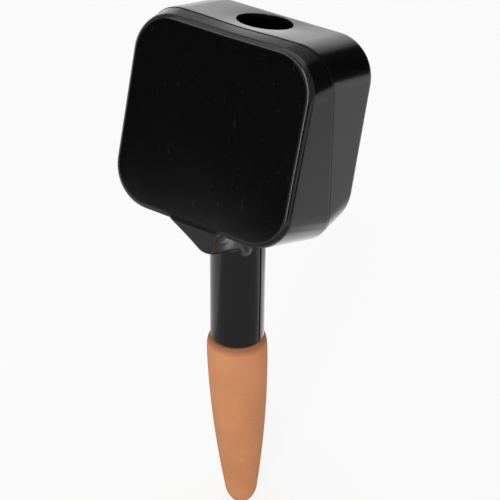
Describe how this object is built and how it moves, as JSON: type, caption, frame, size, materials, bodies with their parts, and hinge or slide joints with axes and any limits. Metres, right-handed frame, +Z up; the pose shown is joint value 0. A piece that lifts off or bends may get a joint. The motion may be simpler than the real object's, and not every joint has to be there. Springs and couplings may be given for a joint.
{
  "type": "plant watering spike",
  "caption": "Leaning water tank with an open filler hole on a round neck, ending in a porous clay cone that is pushed into plant soil and seeps water to the roots.",
  "frame": {"origin": "centre of the clay cone's rim, where the soil surface stands when the cone is pushed in fully", "axes": "+Z up the neck's axis, -Y towards the front face, +X to the right seen from the front"},
  "size_m": [0.0844, 0.0612, 0.2281],
  "materials": {
    "front_plastic": "black moulded plastic, satin gloss",
    "rear_plastic": "black moulded plastic, satin gloss",
    "collar_rubber": "dark soft rubber",
    "clay": "unglazed fired clay, matt and slightly mottled"
  },
  "bodies": {
    "root": {"front_shell": "front_plastic", "rear_shell": "rear_plastic", "seal_collar": "collar_rubber", "clay_cone": "clay"}
  },
  "joints": []
}
